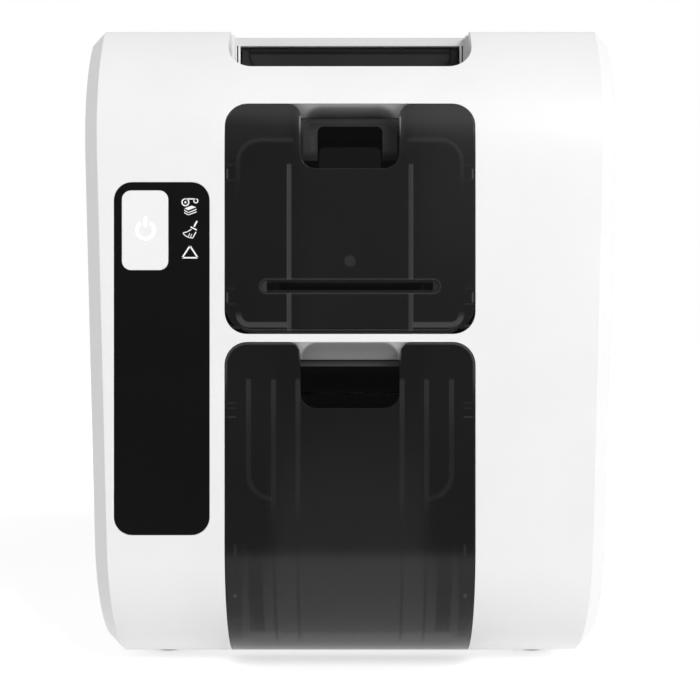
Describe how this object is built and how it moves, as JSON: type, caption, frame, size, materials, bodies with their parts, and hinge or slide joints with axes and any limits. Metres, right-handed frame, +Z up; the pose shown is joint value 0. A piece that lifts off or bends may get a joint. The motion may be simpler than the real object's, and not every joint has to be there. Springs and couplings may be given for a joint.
{
  "type": "id card printer",
  "caption": "Desktop plastic card printer with smoky feeder and output doors, a lifting lid, card hopper, ribbon unit and print head.",
  "frame": {"origin": "centre of the bounding box, on the surface that the feet stand on", "axes": "+Z up, +X to the right seen from the front, -Y towards the front face"},
  "size_m": [0.2078, 0.24, 0.258],
  "materials": {
    "white_plastic": "satin moulded white",
    "button_plastic": "smooth white",
    "black_plastic": "fine grain black",
    "smoky_plastic": "smoky translucent",
    "grey_plastic": "fine grain grey",
    "rubber": "matt black",
    "cleaning_rubber": "tacky blue",
    "steel": "plated sheet and ground bar",
    "motor_metal": "dark satin",
    "gear_nylon": "natural nylon",
    "ribbon_film": "thin glossy film",
    "ribbon_core": "natural",
    "light_guide": "clear",
    "board": "solder mask",
    "socket_metal": "tinned shell on board",
    "head_alloy": "machined",
    "fan_plastic": "black"
  },
  "bodies": {
    "casing": {"front_fascia": "white_plastic", "left_side_panel": "white_plastic", "right_side_panel": "white_plastic", "rear_panel": "white_plastic", "base_pan": "white_plastic", "feet": "rubber", "hinge_pins": "steel", "lid_catch": "steel", "case_screws": "steel", "control_panel": "black_plastic", "light_guides": "light_guide", "front_board": "board", "input_hopper": "black_plastic", "card_gate": "steel", "output_bin": "black_plastic", "exit_chute": "black_plastic", "left_frame_plate": "steel", "right_frame_plate": "steel", "frame_tie_bars": "steel", "side_decks": "grey_plastic", "shaft_bushes": "black_plastic", "card_guides": "black_plastic", "pick_belt": "rubber", "drive_belt": "rubber", "main_motor": "motor_metal", "gear_motors": "motor_metal", "ribbon_web": "ribbon_film", "guide_bars": "steel", "main_board": "board", "rear_sockets": "socket_metal", "fan_frame": "fan_plastic"},
    "lid": {"top_lid": "white_plastic"},
    "lid_lever": {"lid_grip": "black_plastic"},
    "button": {"power_button": "button_plastic"},
    "feeder_door": {"feeder_cover": "smoky_plastic"},
    "output_door": {"output_cover": "smoky_plastic"},
    "weight": {"card_weight": "grey_plastic"},
    "pick": {"pick_roller": "rubber"},
    "feed": {"feed_roller": "rubber", "feed_gear": "gear_nylon"},
    "cleaner": {"cleaning_roller": "cleaning_rubber"},
    "platen": {"platen_roller": "rubber", "platen_gear": "gear_nylon"},
    "idler": {"idler_gear": "gear_nylon"},
    "motor_wheel": {"motor_pulley": "steel"},
    "supply": {"supply_core": "ribbon_core", "supply_film": "ribbon_film"},
    "takeup": {"takeup_core": "ribbon_core", "takeup_film": "ribbon_film"},
    "takeup_drive": {"takeup_pinion": "gear_nylon"},
    "head": {"head_carrier": "grey_plastic", "head_springs": "steel", "print_head": "head_alloy"},
    "tray": {"exit_tray": "black_plastic", "exit_motor": "motor_metal", "tilt_sector": "gear_nylon"},
    "exit_drive": {"exit_roller": "rubber"},
    "exit_pinch": {"exit_pinch_roller": "rubber"},
    "tilt_drive": {"tilt_pinion": "gear_nylon"},
    "fan": {"fan_rotor": "fan_plastic"}
  },
  "joints": [
    {"name": "lid_hinge", "type": "hinge", "parent": "casing", "child": "lid", "pos_m": [0, 0.094, 0.2493], "axis": [-1, 0, 0], "range_deg": [0, 90]},
    {"name": "lid_grip_pull", "type": "hinge", "parent": "lid", "child": "lid_lever", "pos_m": [0, -0.075, 0.252], "axis": [-1, 0, 0], "range_deg": [0, 8], "stiffness_Nm_per_rad": 0.25, "springref_deg": -20.05},
    {"name": "power_button_press", "type": "slide", "parent": "casing", "child": "button", "axis": [0, 1, 0], "range_m": [0, 0.0008], "stiffness_N_per_m": 500, "springref_m": -0.001},
    {"name": "feeder_door_hinge", "type": "hinge", "parent": "casing", "child": "feeder_door", "pos_m": [0, -0.1174, 0.1384], "axis": [1, 0, 0], "range_deg": [0, 45]},
    {"name": "output_door_hinge", "type": "hinge", "parent": "casing", "child": "output_door", "pos_m": [0, -0.072, 0.01], "axis": [1, 0, 0], "range_deg": [0, 25]},
    {"name": "card_weight_lift", "type": "slide", "parent": "casing", "child": "weight", "axis": [0, 0, 1], "range_m": [0, 0.052]},
    {"name": "pick_roller_spin", "type": "hinge", "parent": "casing", "child": "pick", "pos_m": [0, -0.05, 0.145], "axis": [1, 0, 0], "continuous": true},
    {"name": "feed_roller_spin", "type": "hinge", "parent": "casing", "child": "feed", "pos_m": [0, -0.012, 0.146], "axis": [1, 0, 0], "continuous": true},
    {"name": "cleaning_roller_spin", "type": "hinge", "parent": "casing", "child": "cleaner", "pos_m": [0, -0.012, 0.161], "axis": [1, 0, 0], "continuous": true},
    {"name": "platen_roller_spin", "type": "hinge", "parent": "casing", "child": "platen", "pos_m": [0, 0.02, 0.146], "axis": [1, 0, 0], "continuous": true},
    {"name": "idler_spin", "type": "hinge", "parent": "casing", "child": "idler", "pos_m": [0.057, 0.004, 0.12551], "axis": [1, 0, 0], "continuous": true},
    {"name": "motor_pulley_spin", "type": "hinge", "parent": "casing", "child": "motor_wheel", "pos_m": [0.062, 0.03, 0.07], "axis": [1, 0, 0], "continuous": true},
    {"name": "supply_spin", "type": "hinge", "parent": "casing", "child": "supply", "pos_m": [0, 0.07, 0.212], "axis": [1, 0, 0], "continuous": true},
    {"name": "takeup_spin", "type": "hinge", "parent": "casing", "child": "takeup", "pos_m": [0, 0.004, 0.222], "axis": [1, 0, 0], "continuous": true},
    {"name": "takeup_pinion_spin", "type": "hinge", "parent": "casing", "child": "takeup_drive", "pos_m": [0.057, 0.013, 0.20641], "axis": [1, 0, 0], "continuous": true},
    {"name": "head_lift", "type": "hinge", "parent": "casing", "child": "head", "pos_m": [0, 0.085, 0.172], "axis": [-1, 0, 0], "range_deg": [0, 10]},
    {"name": "tray_tilt", "type": "hinge", "parent": "casing", "child": "tray", "pos_m": [0, 0.102, 0.15], "axis": [1, 0, 0], "range_deg": [0, 18]},
    {"name": "tilt_pinion_spin", "type": "hinge", "parent": "casing", "child": "tilt_drive", "pos_m": [-0.057, 0.08969, 0.11617], "axis": [1, 0, 0], "range_deg": [-90, 0]},
    {"name": "exit_roller_spin", "type": "hinge", "parent": "tray", "child": "exit_drive", "pos_m": [0, 0.052, 0.146], "axis": [1, 0, 0], "continuous": true},
    {"name": "exit_pinch_spin", "type": "hinge", "parent": "tray", "child": "exit_pinch", "pos_m": [0, 0.052, 0.16], "axis": [1, 0, 0], "continuous": true},
    {"name": "fan_spin", "type": "hinge", "parent": "casing", "child": "fan", "pos_m": [0.075, 0.111, 0.19], "axis": [0, 1, 0], "continuous": true}
  ],
  "couplings": [
    {"joint": "feed_roller_spin", "follows": "platen_roller_spin", "ratio": 1},
    {"joint": "pick_roller_spin", "follows": "platen_roller_spin", "ratio": 1},
    {"joint": "idler_spin", "follows": "platen_roller_spin", "ratio": -0.85714},
    {"joint": "motor_pulley_spin", "follows": "platen_roller_spin", "ratio": -1.6735},
    {"joint": "takeup_pinion_spin", "follows": "takeup_spin", "ratio": -2},
    {"joint": "tilt_pinion_spin", "follows": "tray_tilt", "ratio": -5}
  ]
}
